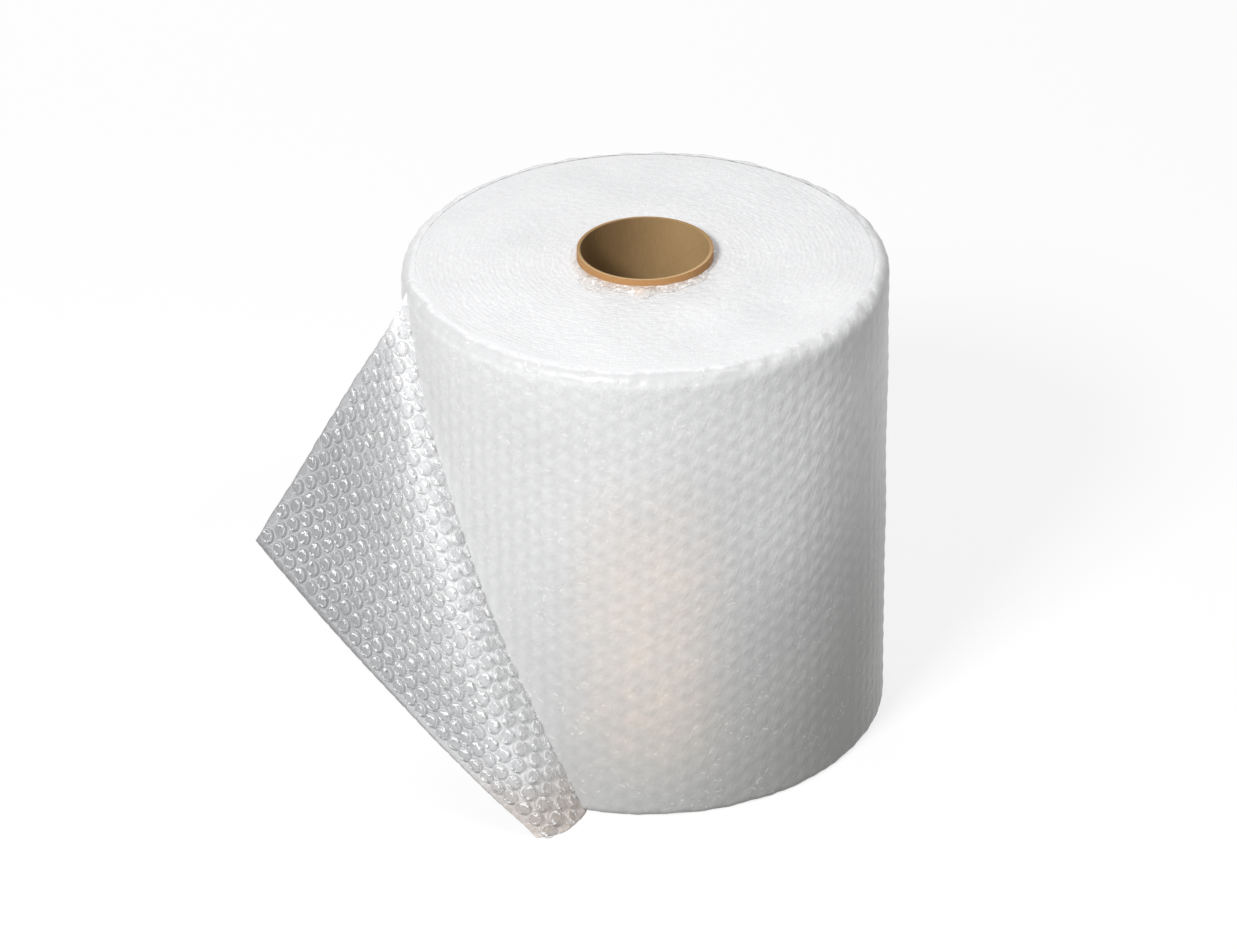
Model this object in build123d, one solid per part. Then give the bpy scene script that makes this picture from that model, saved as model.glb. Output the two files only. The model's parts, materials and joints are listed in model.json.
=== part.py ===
from build123d import *
import os
from math import cos, radians, sin

# Roll of bubble film standing on its end, in millimetres.
# The origin is on the roll's axis at the floor and +Z runs up the core.
# Angles are measured about the axis from +X towards +Y.

# Cardboard core
core_bore_d = 76.2
core_wall = 2.2
core_proud = 6.5        # how far the core stands out above the wound turns

# Wound turns, packed tight enough to count as one solid
web_width = 300.0
roll_d = 290.0
rim_round = 3.0         # softness of the two outer edges of the roll

# Loose end: the last of the web, creased off the roll and folded back on itself
web_thk = 4.0           # film and bubble together
bite = 6.0              # how deep the flap's root sits inside the outer turns

roll_r = roll_d / 2
core_outer_r = core_bore_d / 2 + core_wall
core_length = web_width + core_proud

# Three rows steer the flap, at the foot, the middle and the top of the web.
# A row starts on the roll at the root angle and passes by two steering points
# to its end on the free edge.  A point is an angle about the axis, a distance
# out from the roll's surface and a height above the floor.
foot_row = {
    "root_angle": 255.0,
    "root_height": 0.0,
    "points": [(254.0, 31.0, 0.0), (250.0, 31.0, 0.0), (248.0, 35.0, 0.0)],
}
middle_row = {
    "root_angle": 222.0,
    "root_height": web_width / 2,
    "points": [(230.0, 59.0, web_width / 2 + 7.0), (232.0, 59.0, web_width / 2 - 13.0), (222.0, 55.0, 66.0)],
}
top_row = {
    "root_angle": 192.0,
    "root_height": web_width,
    "points": [(202.0, 28.0, web_width - 29.0), (179.0, 3.0, web_width - 28.0), (181.0, 95.0, 111.0)],
}


def polar(angle, radius, height):
    """A point given by its angle about the axis, its distance from it and its height."""
    return Vector(radius * cos(radians(angle)), radius * sin(radians(angle)), height)


def steering_row(row):
    """The row's root on the roll, followed by its points out to the free edge."""
    root = polar(row["root_angle"], roll_r - bite, row["root_height"])
    return [root] + [polar(angle, roll_r + out, height) for angle, out, height in row["points"]]


def upright_cylinder(radius, height):
    """A cylinder standing on the floor, centred on the roll's axis."""
    return Cylinder(radius, height, align=(Align.CENTER, Align.CENTER, Align.MIN))


def make_core():
    """A plain spiral-wound tube, open right through."""
    return upright_cylinder(core_outer_r, core_length) - upright_cylinder(core_bore_d / 2, core_length)


def make_wound_turns():
    """All the turns as one thick ring, wound straight on to the core."""
    drum = upright_cylinder(roll_r, web_width)
    drum = fillet(drum.edges().filter_by(GeomType.CIRCLE), rim_round)
    return drum - upright_cylinder(core_outer_r, web_width)


def make_loose_end():
    """The folded flap, a curved sheet of even thickness cut level with the web's two edges."""
    sheet = Face.make_bezier_surface([steering_row(row) for row in (foot_row, middle_row, top_row)])
    flap = thicken(sheet, web_thk / 2, both=True)
    reach = 4 * roll_d
    between_edges = Box(reach, reach, web_width, align=(Align.CENTER, Align.CENTER, Align.MIN))
    return flap & between_edges


core = make_core()
film = make_wound_turns() + make_loose_end()

os.makedirs("parts", exist_ok=True)
export_step(core, "parts/cardboard_core.step")
export_step(film, "parts/bubble_film.step")
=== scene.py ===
import json
import math
import random

import bmesh
import bpy
from mathutils import Matrix, Vector, noise


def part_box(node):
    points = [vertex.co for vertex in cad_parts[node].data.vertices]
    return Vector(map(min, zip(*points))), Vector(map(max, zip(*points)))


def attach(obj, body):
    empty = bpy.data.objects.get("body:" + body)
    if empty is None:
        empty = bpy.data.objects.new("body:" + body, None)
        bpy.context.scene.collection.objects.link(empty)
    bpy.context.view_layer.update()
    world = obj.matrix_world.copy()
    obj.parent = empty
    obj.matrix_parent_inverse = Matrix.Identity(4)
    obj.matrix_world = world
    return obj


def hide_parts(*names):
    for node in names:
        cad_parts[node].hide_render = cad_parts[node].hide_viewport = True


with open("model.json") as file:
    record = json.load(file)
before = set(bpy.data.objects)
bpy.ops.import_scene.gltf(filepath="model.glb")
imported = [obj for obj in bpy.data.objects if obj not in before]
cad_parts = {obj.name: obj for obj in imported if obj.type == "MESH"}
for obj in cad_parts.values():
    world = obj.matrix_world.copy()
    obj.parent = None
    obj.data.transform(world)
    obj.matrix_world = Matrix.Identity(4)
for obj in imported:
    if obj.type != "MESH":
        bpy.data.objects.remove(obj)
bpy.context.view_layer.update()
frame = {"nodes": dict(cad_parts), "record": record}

# sizes that every piece shares, in metres, taken from the frame
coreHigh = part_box("cardboard_core")[1]
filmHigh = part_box("bubble_film")[1]
coreRadius = coreHigh.x
boreRadius = frame["record"]["mounts"][0]["dims"]["r_mm"] / 1000
webWidth = filmHigh.z
rollRadius = filmHigh.x

web = {
    "bubbleRadius": 0.0050,     # a 10 mm bubble
    "rowGap": 0.0115,           # bubble to bubble across the web
    "columnsRound": 92,         # columns of bubbles in one outer turn, always even
    "bubbleHeight": 0.0034,
    "filmThickness": 0.00025,
    "creaseAngles": (255.0, 222.0, 192.0),    # where the loose end leaves the roll: foot, middle, top
}
columnGap = 2 * math.pi * rollRadius / web["columnsRound"]


def smoothStep(low, high, x):
    t = min(max((x - low) / (high - low), 0.0), 1.0)
    return t * t * (3 - 2 * t)


def wobble(x, y, z, size):
    return noise.noise(Vector((x, y, z)) / size)


def latticeDistance(along, across):
    # how far a point of the flat web is from the middle of its nearest bubble
    best = 1.0
    for shift in (0.0, 1.0):
        dx = (along / columnGap - shift) / 2
        dy = across / web["rowGap"] - shift / 2
        dx = (dx - round(dx)) * 2 * columnGap
        dy = (dy - round(dy)) * web["rowGap"]
        best = min(best, math.hypot(dx, dy))
    return best


def finishPiece(bm, name, material, smooth=True):
    mesh = bpy.data.meshes.new(name)
    bm.to_mesh(mesh)
    bm.free()
    for face in mesh.polygons:
        face.use_smooth = smooth
    mesh.materials.append(material)
    piece = bpy.data.objects.new(name, mesh)
    bpy.context.scene.collection.objects.link(piece)
    return piece


def asFilm(piece):
    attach(piece, "root")
    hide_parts("bubble_film")


def gridPatch(columns, rows, place, chart, wrap=False, second=None):
    # a grid of quads, each corner put where place(i, j) says, with its flat web place in a UV map
    bm = bmesh.new()
    bmesh.ops.create_grid(bm, x_segments=columns, y_segments=rows, size=0.5)
    flat = bm.loops.layers.uv.new("web")
    other = bm.loops.layers.uv.new(second[0]) if second else None
    steps = {}
    for vert in bm.verts:
        steps[vert] = ((vert.co.x + 0.5) * columns, (vert.co.y + 0.5) * rows)
    for face in bm.faces:
        for loop in face.loops:
            loop[flat].uv = chart(*steps[loop.vert])
            if other:
                loop[other].uv = second[1](*steps[loop.vert])
    for vert, (i, j) in steps.items():
        vert.co = place(i, j)
    if wrap:
        seam = [v for v, (i, j) in steps.items() if i < 0.5 or i > columns - 0.5]
        bmesh.ops.remove_doubles(bm, verts=seam, dist=1e-6)
    return bm


class Value:
    # a socket that can stand in a sum
    def __init__(self, paint, socket):
        self.paint = paint
        self.socket = socket

    def sum(self, operation, *others):
        inputs = {0: self}
        for place, other in enumerate(others):
            inputs[place + 1] = other
        return self.paint.node("Math", {"operation": operation}, inputs)

    def __add__(self, other):
        return self.sum("ADD", other)

    def __sub__(self, other):
        return self.sum("SUBTRACT", other)

    def __rsub__(self, other):
        return self.sum("MULTIPLY_ADD", -1.0, other)

    def __mul__(self, other):
        return self.sum("MULTIPLY", other)

    def __truediv__(self, other):
        return self.sum("DIVIDE", other)

    __radd__ = __add__
    __rmul__ = __mul__

    def fract(self):
        return self.sum("FRACT")

    def size(self):
        return self.sum("ABSOLUTE")

    def root(self):
        return self.sum("SQRT")

    def least(self, other):
        return self.sum("MINIMUM", other)

    def most(self, other):
        return self.sum("MAXIMUM", other)

    def between(self, low, high):
        # 0 below low, 1 above high, soft between
        return self.paint.node("MapRange", {"interpolation_type": "SMOOTHSTEP"},
                               {"Value": self, "From Min": low, "From Max": high})


class Paint:
    # the nodes of one material, or of the world
    def __init__(self, name, owner=None):
        self.owner = owner or bpy.data.materials.new(name)
        self.owner.use_nodes = True
        self.tree = self.owner.node_tree
        self.tree.nodes.clear()

    def node(self, kind, settings=None, inputs=None, output=0):
        made = self.tree.nodes.new("ShaderNode" + kind)
        for key, value in (settings or {}).items():
            setattr(made, key, value)
        for key, value in (inputs or {}).items():
            socket = made.inputs[key]
            if isinstance(value, Value):
                self.tree.links.new(value.socket, socket)
            elif hasattr(value, "__len__") and len(value) == 3 and socket.type == "RGBA":
                socket.default_value = (*value, 1.0)
            else:
                socket.default_value = value
        return Value(self, made.outputs[output] if len(made.outputs) else None)

    def mix(self, factor, first, second):
        return self.node("Mix", {"data_type": "RGBA"}, {0: factor, 6: first, 7: second}, 2)

    def place(self):
        return self.node("TexCoord", output=3)

    def flatPlace(self, name):
        return self.node("UVMap", {"uv_map": name})

    def axes(self, vector):
        outputs = self.node("SeparateXYZ", inputs={0: vector}).socket.node.outputs
        return [Value(self, out) for out in outputs]

    def cloud(self, where, scale, detail=2.0, roughness=0.5):
        return self.node("TexNoise", {}, {
            "Vector": where, "Scale": scale, "Detail": detail, "Roughness": roughness,
        })

    def finish(self, shader):
        self.node("OutputMaterial", inputs={"Surface": shader})
        return self.owner

    def seenWhite(self):
        # 1 for the rays that should meet plain white: the camera's, gloss and what shows through film
        rays = self.node("LightPath").socket.node.outputs
        names = ("Is Camera Ray", "Is Glossy Ray", "Is Transmission Ray")
        camera, gloss, through = [Value(self, rays[name]) for name in names]
        return camera.most(gloss).most(through)


def bubbleField(paint, along, across):
    # 0 at the middle of a bubble and 1 at its edge, from the flat web's own coordinates
    nearest = None
    for shift in (0.0, 1.0):
        dx = ((along / (2 * columnGap) + (0.5 - shift / 2)).fract() - 0.5) * (2 * columnGap)
        dy = ((across / web["rowGap"] + (0.5 - shift / 2)).fract() - 0.5) * web["rowGap"]
        far = (dx * dx + dy * dy).root() / web["bubbleRadius"]
        nearest = far if nearest is None else nearest.least(far)
    return nearest


# the cut edges of the turns, seen end on
edgeLook = {
    "bright": (0.83, 0.832, 0.84),
    "shade": (0.71, 0.713, 0.723),
    # painted highlight, the white of the specks
    "paintedSpark": (0.99, 0.99, 0.99),
    "turnPitch": 0.0030,
    "fine": 1100.0,          # noise scales, from the finest grain up
    "speck": 480.0,
    "broad": 26.0,
}

# the outer turn, milky from all the turns behind it
rollLook = {
    "bright": (0.75, 0.751, 0.754),
    "shade": (0.61, 0.612, 0.615),
    "top": (0.87, 0.872, 0.877),     # painted light, whiter where light comes in through the end
    "topShade": (0.58, 0.582, 0.59),
    "paintedRimShade": (0.55, 0.552, 0.558),  # painted shade where the rim leans towards the lamp
    # painted highlight on the rims of bubbles
    "paintedCatch": (0.98, 0.98, 0.98),
    "paintedHighLight": (0.97, 0.972, 0.975),    # painted light, high up on the side away from the lamp
    "low": (0.37, 0.37, 0.358),      # painted shade, darker towards the floor
    "warm": (0.86, 0.72, 0.61),      # the core, faintly seen through the turns
    "warmth": 0.52,
    "warmReach": 0.060,              # to each side of the middle
    "roughness": 0.20,
    "fine": 950.0,                   # noise scales, from the finest grain up
    "crinkle": 300.0,
    "drift": 90.0,
    "patchy": 70.0,
    "broad": 13.0,
}


def makeRollPaint():
    paint = Paint("milkyTurns")
    here = paint.place()
    x, y, z = paint.axes(here)
    along, across, _ = paint.axes(paint.flatPlace("web"))
    drift = paint.cloud(here, rollLook["drift"], 1.0) - 0.5
    field = bubbleField(paint, along + drift * 0.0030, across + drift * 0.0030)
    dome = 1.0 - field.between(0.25, 1.05)
    rim = (1.0 - (field - 0.88).size() / 0.16).most(0.0)
    fine = paint.cloud(here, rollLook["fine"], 2.0, 0.6)
    crinkle = paint.cloud(here, rollLook["crinkle"], 1.0, 0.55)
    patchy = paint.cloud(here, rollLook["patchy"], 1.0)
    broad = paint.cloud(here, rollLook["broad"], 1.0)
    # light and dark from bubble to bubble, never sharp, because many turns lie behind
    behind = bubbleField(paint, along * 1.03 + 0.0031 + drift * 0.004, across + 0.0047)
    behind = 1.0 - behind.between(0.2, 1.1)
    # slanted strokes, in the colour as well as the bump: partly painted light and shade of bubble rows
    # seen at a slant
    slant = paint.node("CombineXYZ", {}, {"X": along * 260.0 - across * 130.0, "Y": across * 95.0})
    stroke = paint.cloud(slant, 1.0, 2.0, 0.6)
    tone = dome * 0.16 + behind * 0.12 + stroke * 0.40 + fine * 0.25 + crinkle * 0.20 + broad * 0.30
    colour = paint.mix(tone.between(0.30, 0.98), rollLook["shade"], rollLook["bright"])
    # painted shade, darker towards the floor and most on the side away from the lamp; painted light high
    # up there
    paintedFloorShade = (1.0 - z.between(-0.03, 0.23)) * (x * 3.0 + 0.68).least(1.0)
    colour = paint.mix(paintedFloorShade, colour, rollLook["low"])
    paintedHighLight = x.between(0.02, 0.13) * z.between(0.10, 0.25) * (stroke.between(0.25, 0.70) * 0.5 + 0.45)
    colour = paint.mix(paintedHighLight, colour, rollLook["paintedHighLight"])
    # more painted shade, low on the flank away from the lamp
    paintedFlankShade = x.between(0.085, 0.147) * (1.0 - z.between(0.06, 0.26)) * 0.45
    colour = paint.mix(paintedFlankShade, colour, rollLook["low"])
    # painted light, whiter towards the top where light comes in, and at the very top like the cut edges
    grain = fine * 0.6 + crinkle * 0.4
    paintedTopLight = (z + crinkle * 0.010).between(webWidth - 0.050, webWidth + 0.006) * 0.9
    colour = paint.mix(paintedTopLight, colour, paint.mix(grain, rollLook["topShade"], rollLook["top"]))
    # painted shade on the rim where it leans towards the lamp
    lit = ((x * -0.493 - y * 0.841) / rollRadius).between(0.0, 0.8)
    lean = 1.0 - (z - (webWidth - 0.0026)).size().between(0.0012, 0.0050)
    colour = paint.mix(lean * lit * 0.75, colour, rollLook["paintedRimShade"])
    cut = paint.mix(grain.between(0.30, 0.70), edgeLook["shade"], edgeLook["bright"])
    colour = paint.mix(z.between(webWidth - 0.0012, webWidth - 0.00005), colour, cut)
    # painted highlights: now and then the rim of a bubble catches the light
    paintedCatch = rim * crinkle.between(0.55, 0.63) * patchy.between(0.44, 0.62)
    colour = paint.mix(paintedCatch * 0.5, colour, rollLook["paintedCatch"])
    # the core shows warm through the front, where the turns lie flattest
    front = (1.0 - (x.size() / rollLook["warmReach"]).between(0.10, 1.0)) * (1.0 - y.between(-0.09, -0.03))
    height = z.between(0.005, 0.08) * (1.0 - z.between(0.15, 0.26))
    warmth = front * height * (patchy.between(0.30, 0.75) * 0.5 + 0.5) * rollLook["warmth"]
    colour = paint.mix(warmth, colour, rollLook["warm"])
    relief = stroke * 0.45 + crinkle * 0.30 + fine * 0.12
    bump = paint.node("Bump", {}, {"Strength": 0.5, "Distance": 0.0012, "Height": relief})
    shader = paint.node("BsdfPrincipled", {}, {
        "Base Color": colour, "Roughness": fine * 0.25 + rollLook["roughness"], "Normal": bump,
        "IOR": 1.45, "Specular IOR Level": 0.5,
    })
    return paint.finish(shader)


def makeEdgePaint():
    paint = Paint("turnEdges")
    here = paint.place()
    fine = paint.cloud(here, edgeLook["fine"], 2.0, 0.65)
    speck = paint.cloud(here, edgeLook["speck"], 2.0, 0.6)
    broad = paint.cloud(here, edgeLook["broad"], 2.0)
    tone = fine * 0.55 + speck * 0.35 + broad * 0.35
    colour = paint.mix(tone.between(0.30, 0.85), edgeLook["shade"], edgeLook["bright"])
    # painted highlights: white specks on the cut edges
    colour = paint.mix(fine.between(0.58, 0.70) * 0.7, colour, edgeLook["paintedSpark"])
    relief = fine * 0.6 + speck * 0.4
    bump = paint.node("Bump", {}, {"Strength": 0.40, "Distance": 0.0007, "Height": relief})
    shader = paint.node("BsdfPrincipled", {}, {
        "Base Color": colour, "Roughness": speck.between(0.3, 0.7) * 0.25 + 0.35, "Normal": bump,
        "IOR": 1.5, "Specular IOR Level": 0.22,
    })
    return paint.finish(shader)


# the loose end, for its film and its bubbles alike
flapLook = {
    "fold": (0.78, 0.783, 0.79),     # milky where the web turns back, partly painted light over the shade in the fold
    "near": (0.74, 0.743, 0.752),
    "far": (0.42, 0.423, 0.433),     # darker out at the free corner, painted shade of surroundings seen through the film
    "foot": (0.56, 0.45, 0.37),      # painted reflection, the faint brown of the floor corner
    # painted highlight, shared by the film's creases and the bubbles
    "glint": (0.96, 0.965, 0.97),
    "filmAlpha": 0.86,
    "broad": 24.0,                   # noise scales
    "filmFine": 700.0,
    "crease": 210.0,
    "bubbleFine": 900.0,
    "slack": 330.0,
    "chance": 120.0,
}


def flapColour(paint, z, a, w, here):
    broad = paint.cloud(here, flapLook["broad"], 1.0)
    # lighter near the roll and darker out at the free corner: painted light and shade of what shows
    # through the film
    reach = a * (w * 0.75 + 0.25)
    colour = paint.mix((reach + broad * 0.20).between(0.30, 1.0), flapLook["near"], flapLook["far"])
    colour = paint.mix(1.0 - (a + broad * 0.12).between(0.10, 0.46), colour, flapLook["fold"])
    # painted reflection of the brown floor, near the foot
    return paint.mix((1.0 - z.between(0.004, 0.045)) * 0.6, colour, flapLook["foot"])


def makeFilmPaint():
    paint = Paint("looseFilm")
    here = paint.place()
    z = paint.axes(here)[2]
    along, across, _ = paint.axes(paint.flatPlace("web"))
    a, w, _ = paint.axes(paint.flatPlace("flap"))
    fine = paint.cloud(here, flapLook["filmFine"], 1.0, 0.6)
    crease = paint.cloud(here, flapLook["crease"], 2.0, 0.6)
    colour = flapColour(paint, z, a, w, here)
    field = bubbleField(paint, along, across)
    # a light ring round each bubble's foot and thin crease lines: partly milky film, partly painted
    # highlight
    ring = (1.0 - (field - 1.0).size() / 0.13).most(0.0)
    streak = (1.0 - (crease - 0.5).size() / 0.03).most(0.0)
    colour = paint.mix((ring * 0.28 + streak * 0.30).least(1.0), colour, flapLook["glint"])
    relief = crease * 0.6 + fine * 0.2
    bump = paint.node("Bump", {}, {"Strength": 0.6, "Distance": 0.0009, "Height": relief})
    shader = paint.node("BsdfPrincipled", {}, {
        "Base Color": colour, "Roughness": fine * 0.20 + 0.28, "Normal": bump,
        "IOR": 1.5, "Specular IOR Level": 0.28,
        "Alpha": 1.0 - (1.0 - flapLook["filmAlpha"]) * a.between(0.25, 0.55),
    })
    return paint.finish(shader)


def makeBubblePaint():
    paint = Paint("looseBubbles")
    here = paint.place()
    z = paint.axes(here)[2]
    a, w, _ = paint.axes(paint.flatPlace("flap"))
    bx, by, _ = paint.axes(paint.flatPlace("blister"))
    bx = bx * 2.0 - 1.0
    by = by * 2.0 - 1.0
    reach = (bx * bx + by * by).root()
    fine = paint.cloud(here, flapLook["bubbleFine"], 1.0, 0.6)
    slack = paint.cloud(here, flapLook["slack"], 2.0, 0.6)
    chance = paint.cloud(here, flapLook["chance"], 1.0)
    colour = flapColour(paint, z, a, w, here)
    # the shoulder and foot of each bubble whiter: film seen edge-on there, partly painted highlight
    shoulder = (1.0 - (reach - 0.86).size() / 0.11).most(0.0)
    skirt = reach.between(0.93, 1.0)
    # painted highlights: short white arcs on each bubble, where glints fall
    arc = (1.5 - (reach - 0.60 - (slack - 0.5) * 1.3).size() / 0.10).most(0.0).least(1.0)
    facing = (bx * 0.41 - by * 0.91) / (reach + 0.05)
    arc = arc * facing.size().between(0.42, 0.85) * (chance + slack * 0.9).between(0.74, 0.96)
    colour = paint.mix((1.0 - chance.between(0.30, 0.62)) * 0.35, colour, flapLook["far"])
    white = (shoulder * 0.46 + skirt * 0.20 + arc * 1.5).least(1.0)
    colour = paint.mix(white, colour, flapLook["glint"])
    alpha = (white * 0.70 + 0.26).least(0.95)
    relief = slack * 1.0 + fine * 0.15
    bump = paint.node("Bump", {}, {"Strength": 0.9, "Distance": 0.0024, "Height": relief})
    shader = paint.node("BsdfPrincipled", {}, {
        "Base Color": colour, "Roughness": fine * 0.12 + 0.10, "Normal": bump,
        "IOR": 1.5, "Specular IOR Level": 0.5, "Alpha": alpha,
    })
    return paint.finish(shader)


# crinkled clear film at the start of the web
collarLook = {
    "film": (0.82, 0.785, 0.76),
    "streak": (1.0, 1.0, 1.0),
    "fold": (0.70, 0.50, 0.38),      # a brown spot, the core seen through the film; painted only, with no fold in the film
    "foldPlace": (-0.003, -0.0435),
    "crease": 170.0,
}


def makeCollarPaint():
    paint = Paint("innerEndFilm")
    here = paint.place()
    x, y, _ = paint.axes(here)
    crease = paint.cloud(here, collarLook["crease"], 2.0, 0.5)
    # white along the creases: partly creased film, partly painted highlight
    streak = (1.0 - (crease - 0.5).size() / 0.04).most(0.0)
    colour = paint.mix(streak * 0.6, collarLook["film"], collarLook["streak"])
    foldX, foldY = collarLook["foldPlace"]
    fold = ((x - foldX) * (x - foldX) + (y - foldY) * (y - foldY)).root()
    fold = 1.0 - fold.between(0.0015, 0.0060)
    colour = paint.mix(fold * 0.45, colour, collarLook["fold"])
    bump = paint.node("Bump", {}, {"Strength": 0.8, "Distance": 0.002, "Height": crease})
    shader = paint.node("BsdfPrincipled", {}, {
        "Base Color": colour, "Roughness": 0.10, "Normal": bump,
        "IOR": 1.5, "Specular IOR Level": 0.9, "Alpha": (streak * 0.30 + fold * 0.2 + 0.55).least(1.0),
    })
    return paint.finish(shader)


# the core's board, inside, on its rim and outside
boardLook = {
    "inside": (0.19, 0.115, 0.048),
    "insidePale": (0.43, 0.285, 0.135),
    "rim": (0.62, 0.42, 0.225),
    "rimBehind": (0.36, 0.225, 0.105),
    "outside": (0.37, 0.175, 0.058),
    "seam": (0.20, 0.12, 0.05),
    "seamRise": 0.21,                # height of one turn of the spiral ply
    "fibre": 520.0,
    "cloudy": 40.0,
}


def makeBoardPaint():
    paint = Paint("kraftBoard")
    here = paint.place()
    x, y, z = paint.axes(here)
    reach = (x * x + y * y).root()
    stretched = paint.node("Mapping", {}, {"Vector": here, "Scale": (1.0, 1.0, 0.35)})
    fibre = paint.cloud(stretched, boardLook["fibre"], 4.0, 0.65)
    cloudy = paint.cloud(here, boardLook["cloudy"], 2.0)
    # painted light and shade inside the bore: darker on the left, lighter to the right where the lamp
    # reaches in
    paintedBoreLight = (fibre * 0.30 + cloudy * 0.20 + x * 17.0 + 0.10).least(1.0).most(0.10)
    inner = paint.mix(paintedBoreLight, boardLook["inside"], boardLook["insidePale"])
    middle = (boreRadius + coreRadius) / 2
    outer = paint.mix(fibre * 0.30, boardLook["outside"], boardLook["rim"])
    # painted shade: the rim darker on its far side
    rim = paint.mix(y.between(-0.030, 0.012), boardLook["rim"], boardLook["rimBehind"])
    colour = paint.mix(reach.between(boreRadius + 0.0002, middle), inner, rim)
    colour = paint.mix(reach.between(middle + 0.0004, coreRadius - 0.0002), colour, outer)
    # the butt joint of the spiral ply
    turn = paint.node("Math", {"operation": "ARCTAN2"}, {0: y, 1: x}) / (2 * math.pi)
    ply = ((turn + z / boardLook["seamRise"]).fract() - 0.5).size()
    seam = 1.0 - ply.between(0.0, 0.006)
    onWall = 1.0 - z.between(coreHigh.z - 0.0008, coreHigh.z - 0.0002)
    seam = seam * onWall
    colour = paint.mix(seam * 0.09, colour, boardLook["seam"])
    bump = paint.node("Bump", {}, {"Strength": 0.5, "Distance": 0.0004, "Height": fibre - seam * 0.15})
    shader = paint.node("BsdfPrincipled", {}, {
        "Base Color": colour, "Roughness": fibre * 0.15 + 0.72, "Normal": bump,
        "Specular IOR Level": 0.3,
    })
    return paint.finish(shader)


rollPaint = makeRollPaint()
edgePaint = makeEdgePaint()
filmPaint = makeFilmPaint()
bubblePaint = makeBubblePaint()
collarPaint = makeCollarPaint()
boardPaint = makeBoardPaint()
print("materials made")


# the outer turn, with its bubbles showing through
outerTurn = {
    "stepsPerColumn": 6,
    "stepsUp": 156,
    "relief": 0.00034,        # how far each bubble shows through the flat film
    "topRound": 0.0085,
    "footRound": 0.0040,
    "inset": 0.0012,          # bubbles and ruffles stay inside the frame's radius
    "wander": 0.0007,
    "wanderSize": 0.05,
    "ruffle": 0.0011,         # in and out, on the rims
    "ruffleSize": 0.007,
    "lift": 0.0012,           # up and down, on the top rim
    "liftSize": 0.012,
    "smoothBeside": 11.0,     # degrees of turn beside the crease that stay smooth
}


def creaseAngle(height):
    w = height / webWidth
    foot, middle, top = web["creaseAngles"]
    return (1 - w) ** 2 * foot + 2 * w * (1 - w) * middle + w * w * top


def rollSide(distance):
    # the roll's upright outline: how far in and how high, at a distance along the web's width
    low, high = outerTurn["footRound"], outerTurn["topRound"]
    lowArc = low * math.pi / 2
    straight = webWidth - low - high
    if distance < lowArc:
        t = distance / low
        return low * (1 - math.sin(t)), low * (1 - math.cos(t))
    if distance > lowArc + straight:
        t = (distance - lowArc - straight) / high
        return high * (1 - math.cos(t)), webWidth - high + high * math.sin(t)
    return 0.0, low + distance - lowArc


def makeOuterTurn():
    columns = web["columnsRound"] * outerTurn["stepsPerColumn"]
    rows = outerTurn["stepsUp"]
    arcs = (outerTurn["footRound"] + outerTurn["topRound"]) * (math.pi / 2 - 1)
    length = webWidth + arcs

    def chart(i, j):
        return (i / outerTurn["stepsPerColumn"] * columnGap, j / rows * length - arcs / 2)

    def place(i, j):
        along, across = chart(i, j)
        turn = (i % columns) / columns * 2 * math.pi
        inset, height = rollSide(j / rows * length)
        far = min(latticeDistance(along, across) / web["bubbleRadius"], 1.15) / 1.15
        swell = 0.5 + 0.5 * math.cos(math.pi * far)
        beside = (math.degrees(turn) - creaseAngle(height)) % 360
        swell *= 0.25 + 0.75 * smoothStep(0, outerTurn["smoothBeside"], min(beside, 360 - beside))
        c, s = math.cos(turn), math.sin(turn)
        x, y = rollRadius * c, rollRadius * s
        onTop = height > webWidth / 2
        # the rim is ruffled, but not where it meets the roll's end
        inward = inset / outerTurn["topRound" if onTop else "footRound"]
        edge = min(1.0, inset / 0.002) * smoothStep(1.0, 0.7, inward)
        soft = wobble(x, y, height, outerTurn["wanderSize"]) * outerTurn["wander"]
        soft *= smoothStep(1.0, 0.5, inward)
        ruffle = edge * wobble(x, y, height, outerTurn["ruffleSize"]) * outerTurn["ruffle"]
        radius = rollRadius - outerTurn["inset"] - inset + swell * outerTurn["relief"] + soft + ruffle
        if onTop:
            height += edge * wobble(x, y, height + 0.5, outerTurn["liftSize"]) * outerTurn["lift"]
        return Vector((radius * c, radius * s, min(webWidth + 0.002, max(0.0, height))))

    bm = gridPatch(columns, rows, place, chart, wrap=True)
    bmesh.ops.recalc_face_normals(bm, faces=bm.faces)
    piece = finishPiece(bm, "outerTurn", rollPaint)
    asFilm(piece)
    return piece


outerPiece = makeOuterTurn()
print("outer turn made", len(outerPiece.data.polygons))


# the ends of the roll, where the edge of each turn shows
turnEnds = {
    "topSteps": (420, 140),       # round and outwards
    "footSteps": (240, 90),
    "depth": 0.00014,             # of the groove between two turns
    "scallop": 0.00010,
    "sag": 0.0012,
    "sagSize": 0.045,
    "rough": 0.00026,
    "roughSize": 0.0030,
    "overlap": 0.0006,            # the last ring runs under the rim
    "tuck": 0.0004,               # and dips there
    "footGap": 0.0012,            # from the floor up to the lower end
}


def faceUp(bm, up=True):
    # on an open sheet, recalculated normals can all point the wrong way
    bmesh.ops.recalc_face_normals(bm, faces=bm.faces)
    if (sum(face.normal.z for face in bm.faces) > 0) != up:
        bmesh.ops.reverse_faces(bm, faces=bm.faces)


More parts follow.
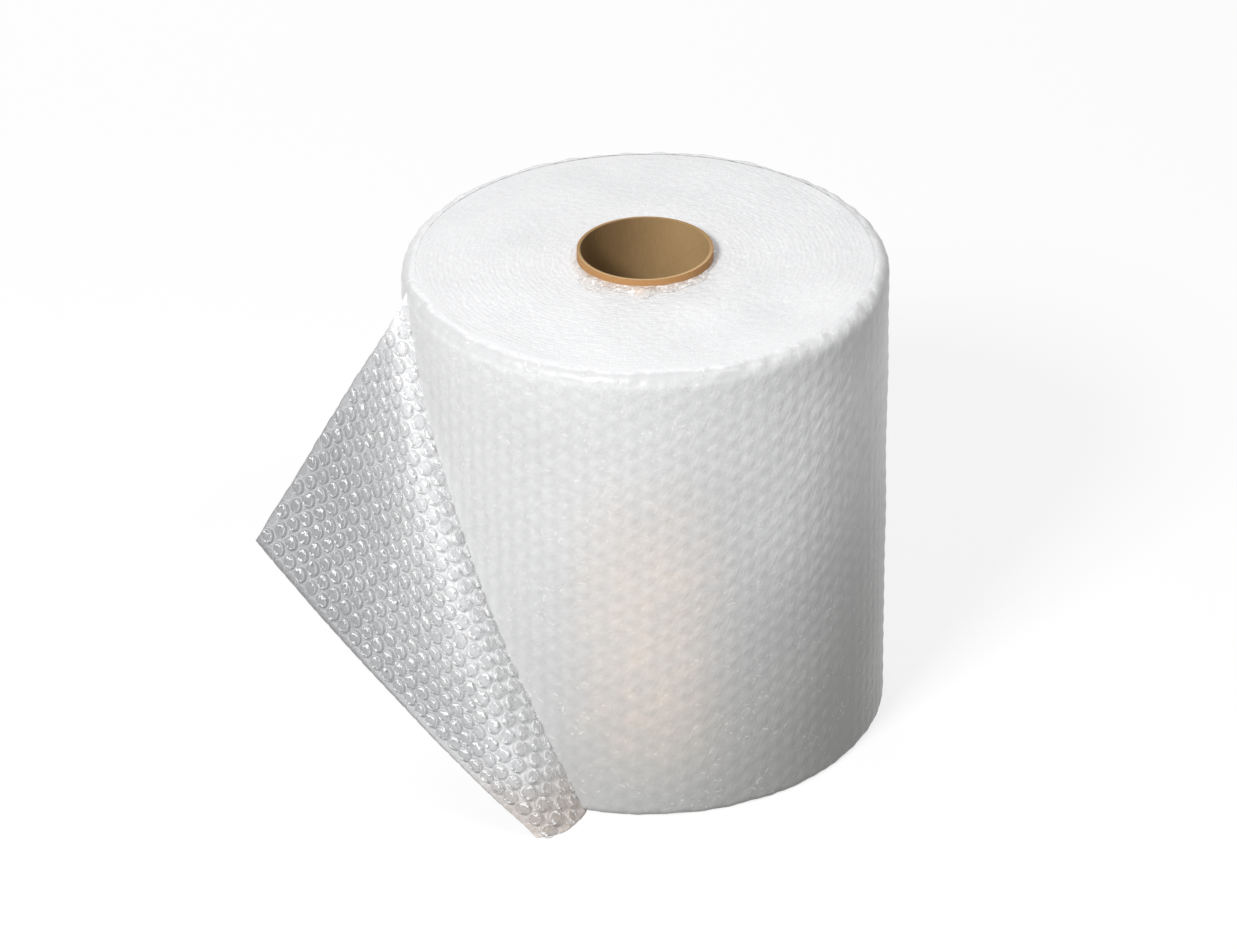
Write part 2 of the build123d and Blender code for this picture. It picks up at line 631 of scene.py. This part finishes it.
def makeRollEnd(name, top):
    inner = coreRadius - 0.0002
    outer = rollRadius - outerTurn["inset"] - outerTurn["topRound" if top else "footRound"]
    outer += turnEnds["overlap"]
    stepsRound, stepsOut = turnEnds["topSteps" if top else "footSteps"]

    def chart(i, j):
        return (i / stepsRound, j / stepsOut)

    def place(i, j):
        turn = (i % stepsRound) / stepsRound * 2 * math.pi
        radius = inner + (outer - inner) * j / stepsOut
        c, s = math.cos(turn), math.sin(turn)
        lap = radius / edgeLook["turnPitch"] - turn / (2 * math.pi)
        layer = math.floor(lap)
        ridge = abs(math.cos(math.pi * lap)) ** 0.7
        phase = wobble(layer * 0.37, 0.0, 0.0, 1.0) * 40
        scallop = math.sin(radius * turn / web["rowGap"] * 2 * math.pi + phase)
        x, y = radius * c, radius * s
        broad = wobble(x, y, 0.0, turnEnds["sagSize"]) * turnEnds["sag"]
        rough = wobble(x, y, 2.0, turnEnds["roughSize"]) * turnEnds["rough"]
        rise = -turnEnds["depth"] * ridge + turnEnds["scallop"] * scallop * (1 - ridge) + rough + broad
        rise *= smoothStep(outer + 0.002, outer - 0.010, radius)
        if top:
            dip = turnEnds["tuck"] * smoothStep(outer - 0.001, outer, radius)
            return Vector((x, y, webWidth + rise - dip))
        return Vector((x, y, max(0.0, turnEnds["footGap"] - rise)))

    bm = gridPatch(stepsRound, stepsOut, place, chart, wrap=True)
    faceUp(bm, top)
    asFilm(finishPiece(bm, name, edgePaint))


makeRollEnd("topTurnEdges", True)
makeRollEnd("footTurnEdges", False)
print("roll ends made")


# the loose end of the web, creased off the roll and folded back
def polar(angle, out, height):
    reach = rollRadius + out
    return Vector((reach * math.cos(math.radians(angle)), reach * math.sin(math.radians(angle)), height))


footCrease, middleCrease, topCrease = web["creaseAngles"]
looseEnd = {
    # three rows that steer it, as in the frame: angle, distance out of the roll, height
    "rows": [
        [(footCrease, -0.006, 0.0), (254, 0.031, 0.0), (250, 0.031, 0.0), (248, 0.035, 0.0)],
        [(middleCrease, -0.006, webWidth / 2), (230, 0.059, webWidth / 2 + 0.007),
         (232, 0.059, webWidth / 2 - 0.013), (222, 0.055, 0.066)],
        [(topCrease, -0.006, webWidth), (202, 0.028, webWidth - 0.029), (179, 0.003, webWidth - 0.028),
         (181, 0.095, 0.111)],
    ],
    "stepsAlong": 90,
    "stepsAcross": 150,
    "pucker": 0.0006,
    "wander": 0.0016,
    "wanderSize": 0.045,
    "margin": 0.0042,        # bubbles nearer to an edge than this are left out
    "rootMargin": 0.003,     # and nearer to the root than this
    "fullFrom": 0.030,       # bubbles this far from the root are at full height
    "bubbleSides": 14,
}
steering = [[polar(*point) for point in row] for row in looseEnd["rows"]]


def blendRow(weights, points):
    total = Vector((0, 0, 0))
    for weight, point in zip(weights, points):
        total += point * weight
    return total


def sheetPoint(a, w):
    # a runs from the root to the free edge, w from the foot to the top of the web
    acrossWeights = ((1 - w) ** 2, 2 * w * (1 - w), w * w)
    alongWeights = ((1 - a) ** 3, 3 * a * (1 - a) ** 2, 3 * a * a * (1 - a), a ** 3)
    return blendRow(acrossWeights, [blendRow(alongWeights, row) for row in steering])


def sheetNormal(a, w):
    d = 0.004
    p, q = max(a - d, 0.0), min(a + d, 1.0)
    r, s = max(w - d, 0.0), min(w + d, 1.0)
    acrossWay = sheetPoint(a, s) - sheetPoint(a, r)
    alongWay = sheetPoint(q, w) - sheetPoint(p, w)
    return alongWay.cross(acrossWay).normalized()


outward = 1.0 if sheetNormal(0.9, 0.5).dot(sheetPoint(0.9, 0.5)) > 0 else -1.0


def sheetLengths(w, count=60):
    # distance along one row at even steps of a
    total, lengths = 0.0, [0.0]
    last = sheetPoint(0, w)
    for k in range(1, count + 1):
        now = sheetPoint(k / count, w)
        total += (now - last).length
        lengths.append(total)
        last = now
    return lengths


def filmPoint(a, w, lift):
    # a point that stands lift outside the film's own face
    spot = sheetPoint(a, w)
    normal = sheetNormal(a, w) * outward
    free = smoothStep(0.1, 0.5, a)
    drift = wobble(spot.x, spot.y, spot.z, looseEnd["wanderSize"]) * looseEnd["wander"] * free
    spot = spot + normal * (drift + lift - web["bubbleHeight"] / 2)
    spot.z = min(max(spot.z, web["filmThickness"]), webWidth)
    return spot


rowLengths = {}
for k in range(looseEnd["stepsAcross"] + 1):
    rowLengths[k] = sheetLengths(k / looseEnd["stepsAcross"])


def flatPlaceOf(a, w):
    lengths = rowLengths[round(w * looseEnd["stepsAcross"])]
    at = a * (len(lengths) - 1)
    k = min(int(at), len(lengths) - 2)
    gone = lengths[k] + (lengths[k + 1] - lengths[k]) * (at - k)
    return lengths[-1] - gone        # distance in from the free edge


def makeLooseFilm():
    columns, rows = looseEnd["stepsAlong"], looseEnd["stepsAcross"]

    def chart(i, j):
        return (flatPlaceOf(i / columns, j / rows), j / rows * webWidth)

    def place(i, j):
        along, across = chart(i, j)
        far = latticeDistance(along, across) / web["bubbleRadius"]
        dip = -looseEnd["pucker"] * smoothStep(0.8, 1.2, far)
        return filmPoint(i / columns, j / rows, dip)

    bm = gridPatch(columns, rows, place, chart, second=("flap", lambda i, j: (i / columns, j / rows)))
    bmesh.ops.recalc_face_normals(bm, faces=bm.faces)
    piece = finishPiece(bm, "looseFilm", filmPaint)
    thick = piece.modifiers.new("thickness", "SOLIDIFY")
    thick.thickness = web["filmThickness"]
    thick.offset = 0
    asFilm(piece)
    return piece


def blisterShape():
    # a round blister of unit radius and height: upright wall, rolled shoulder, slightly slack top
    profile = ((1.0, 0.0), (0.99, 0.35), (0.95, 0.66), (0.84, 0.90), (0.55, 1.0))
    bm = bmesh.new()
    bmesh.ops.create_circle(bm, cap_ends=True, segments=looseEnd["bubbleSides"], radius=1.0)
    face = bm.faces[:][0]
    for (wide, _), (reach, rise) in zip(profile, profile[1:]):
        bmesh.ops.inset_individual(bm, faces=[face], thickness=0.0, depth=0.0)
        for vert in face.verts:
            vert.co.x *= reach / wide
            vert.co.y *= reach / wide
            vert.co.z = rise
    middle = bmesh.ops.poke(bm, faces=[face])["verts"][0]
    middle.co.z = 0.99
    bmesh.ops.recalc_face_normals(bm, faces=bm.faces)
    mesh = bpy.data.meshes.new("blister")
    bm.to_mesh(mesh)
    bm.free()
    return mesh


def bubblePlaces():
    # where each bubble of the loose end stands: from the free edge, from the root, a and w
    steps = looseEnd["stepsAcross"]
    longest = max(lengths[-1] for lengths in rowLengths.values())
    for column in range(int(longest / columnGap) + 2):
        along = column * columnGap
        for row in range(int(webWidth / web["rowGap"]) + 2):
            across = (row + 0.5 * (column % 2)) * web["rowGap"]
            if not looseEnd["margin"] < across < webWidth - looseEnd["margin"]:
                continue
            lengths = rowLengths[round(across / webWidth * steps)]
            gone = lengths[-1] - along
            if along < looseEnd["margin"] or gone < looseEnd["rootMargin"]:
                continue
            k = 0
            while k < len(lengths) - 2 and lengths[k + 1] < gone:
                k += 1
            a = (k + (gone - lengths[k]) / (lengths[k + 1] - lengths[k])) / (len(lengths) - 1)
            yield along, gone, a, across / webWidth


def makeLooseBubbles():
    chance = random.Random(7)
    shape = blisterShape()
    corners = [vert.co.copy() for vert in shape.vertices]
    bm = bmesh.new()
    layers = [bm.loops.layers.uv.new(name) for name in ("web", "flap", "blister")]
    count = 0
    for along, gone, a, w in bubblePlaces():
        spot = filmPoint(a, w, 0.0)
        out = sheetNormal(a, w) * outward
        lean = Vector([chance.uniform(-0.08, 0.08) for _ in range(3)])
        out = (out + lean).normalized()
        acrossWay = (sheetPoint(a, min(w + 0.01, 1.0)) - sheetPoint(a, max(w - 0.01, 0.0))).normalized()
        side = (acrossWay - out * acrossWay.dot(out)).normalized()
        turn = Matrix((side, out.cross(side), out)).transposed().to_4x4()
        full = smoothStep(looseEnd["rootMargin"], looseEnd["fullFrom"], gone)
        squash = chance.uniform(0.70, 1.0) * (0.45 + 0.55 * full)
        wide = web["bubbleRadius"] * chance.uniform(0.95, 1.02)
        size = Matrix.Diagonal((wide, wide * chance.uniform(0.95, 1.0), web["bubbleHeight"] * squash, 1.0))
        first, firstFace = len(bm.verts), len(bm.faces)
        bm.from_mesh(shape)
        bm.verts.ensure_lookup_table()
        bm.faces.ensure_lookup_table()
        bm.verts.index_update()
        bmesh.ops.transform(bm, verts=bm.verts[first:], matrix=Matrix.Translation(spot) @ turn @ size)
        for vert in bm.verts[first:]:
            vert.co.z = min(max(vert.co.z, 0.0), webWidth)
        for face in bm.faces[firstFace:]:
            for loop in face.loops:
                local = corners[loop.vert.index - first]
                loop[layers[0]].uv = (along + local.y * wide, w * webWidth + local.x * wide)
                loop[layers[1]].uv = (a, w)
                loop[layers[2]].uv = (0.5 + 0.5 * local.x, 0.5 + 0.5 * local.y)
        count += 1
    bpy.data.meshes.remove(shape)
    piece = finishPiece(bm, "looseBubbles", bubblePaint)
    asFilm(piece)
    print("loose bubbles", count)
    return piece


looseFilmPiece = makeLooseFilm()
looseBubblePiece = makeLooseBubbles()
footLength = rowLengths[0][-1]
topLength = rowLengths[looseEnd["stepsAcross"]][-1]
webWidth * (footLength + topLength) / 2
print("loose end made")


# the start of the web, crinkled round the core
collar = {
    "stepsRound": 260,
    "stepsOut": 14,
    "reach": 0.0115,
    "rise": 0.0016,
    "crumple": 0.0024,
    "crumpleSize": 0.0080,
    "fineCrumple": 0.0009,
    "fineSize": 0.0030,
    "raggedSize": 0.011,
    "noiseRing": 0.05,       # radius of the ring on which its noise is read
}


def makeCollar():
    columns, rows = collar["stepsRound"], collar["stepsOut"]

    def chart(i, j):
        return (i / columns * 2 * math.pi * coreRadius, j / rows * collar["reach"])

    def place(i, j):
        turn = (i % columns) / columns * 2 * math.pi
        t = j / rows
        c, s = math.cos(turn), math.sin(turn)
        # highest in front, where the end of the web was tucked in
        front = max(0.0, -s * 0.93 + c * -0.2) ** 1.5
        x, y = c * collar["noiseRing"], s * collar["noiseRing"]
        crumple = wobble(x, y, t * 0.010, collar["crumpleSize"]) * collar["crumple"]
        crumple += wobble(x, y, t * 0.012 + 3, collar["fineSize"]) * collar["fineCrumple"]
        ragged = 0.85 + 0.7 * wobble(x, y, 7.0, collar["raggedSize"])
        radius = coreRadius + 0.0002 + t * collar["reach"] * (0.12 + 0.88 * front) * ragged
        rise = (0.0010 + collar["rise"] * front) * (1 - t) ** 1.3
        rise += crumple * (0.3 + front) * smoothStep(-0.15, 0.35, t) * (1 - t * 0.6)
        height = webWidth + 0.0004 + max(rise, -0.0006)
        return Vector((radius * c, radius * s, min(height, webWidth + 0.0062)))

    bm = gridPatch(columns, rows, place, chart, wrap=True)
    faceUp(bm)
    asFilm(finishPiece(bm, "innerEndFilm", collarPaint))


makeCollar()
print("collar made")


# the core keeps the frame's own mesh
core = frame["nodes"]["cardboard_core"]
for held in core.material_slots:
    held.material = boardPaint
if not core.material_slots:
    core.data.materials.append(boardPaint)

# floor, light and camera
studio = {
    "floorSize": 6.0,
    "floorColour": (0.25, 0.25, 0.25),
    "floorWhite": 0.80,          # how much of the floor's shade the camera doesn't see
    "worldLight": 0.27,
    "lens": 141.4,
    "distance": 2.939,
    "elevation": 30.56,
    "aim": (-0.0177, 0.0, 0.152),
    "roll": 0.9,
    # place, two sides and power of each lamp
    "lamps": {
        "keyLamp": ((-1.05, -1.87, 1.95), (0.7, 0.7), 76),
        "glintLamp": ((1.1, -0.9, 2.2), (0.16, 0.16), 8),
        "backLamp": ((-0.50, 2.81, 1.08), (1.2, 0.8), 28),
    },
}
rollMiddle = Vector((0, 0, webWidth / 2))


def makeBackdropPaint():
    # white to the camera and in gloss, but a mid grey for the light it throws back on the object
    paint = Paint("paleFloor")
    seen = paint.seenWhite()
    colour = paint.mix(seen, studio["floorColour"], (1.0, 1.0, 1.0))
    plain = paint.node("BsdfDiffuse", {}, {"Color": colour})
    white = paint.node("Emission", {}, {"Color": (1.0, 1.0, 1.0), "Strength": 1.0})
    shader = paint.node("MixShader", {}, {0: seen * studio["floorWhite"], 1: plain, 2: white})
    return paint.finish(shader)


def makeFloor():
    bm = bmesh.new()
    bmesh.ops.create_grid(bm, x_segments=1, y_segments=1, size=studio["floorSize"] / 2)
    floor = finishPiece(bm, "floor", makeBackdropPaint(), smooth=False)


def makeWorld():
    world = bpy.data.worlds.new("studioAir")
    bpy.context.scene.world = world
    paint = Paint("studioAir", world)
    light = paint.node("Background", {}, {"Color": (1.0, 1.0, 1.0), "Strength": studio["worldLight"]})
    white = paint.node("Background", {}, {"Color": (1.0, 1.0, 1.0), "Strength": 1.0})
    shader = paint.node("MixShader", {}, {0: paint.seenWhite(), 1: light, 2: white})
    paint.node("OutputWorld", {}, {"Surface": shader})


def makeLamp(name, place, size, power):
    data = bpy.data.lights.new(name, "AREA")
    data.shape = "RECTANGLE"
    data.size, data.size_y = size
    data.energy = power
    lamp = bpy.data.objects.new(name, data)
    lamp.location = place
    lamp.rotation_euler = (rollMiddle - Vector(place)).to_track_quat("-Z", "Y").to_euler()
    # the back lamp only lifts the side that the camera doesn't see
    lamp.visible_glossy = name != "backLamp"
    bpy.context.scene.collection.objects.link(lamp)


def makeCamera():
    data = bpy.data.cameras.new("camera")
    data.lens = studio["lens"]
    data.sensor_width = 36.0
    camera = bpy.data.objects.new("camera", data)
    tilt = math.radians(studio["elevation"])
    back = Vector((0, -math.cos(tilt), math.sin(tilt)))
    stand = rollMiddle + back * studio["distance"]
    aim = Vector(studio["aim"]) - stand
    camera.location = stand
    turn = aim.to_track_quat("-Z", "Y").to_matrix().to_4x4()
    turn = turn @ Matrix.Rotation(math.radians(-studio["roll"]), 4, "Z")
    camera.rotation_euler = turn.to_euler()
    bpy.context.scene.collection.objects.link(camera)
    bpy.context.scene.camera = camera


makeFloor()
makeWorld()
for name, (place, size, power) in studio["lamps"].items():
    makeLamp(name, place, size, power)
makeCamera()
bpy.context.scene.view_settings.view_transform = "Standard"
print("studio made")
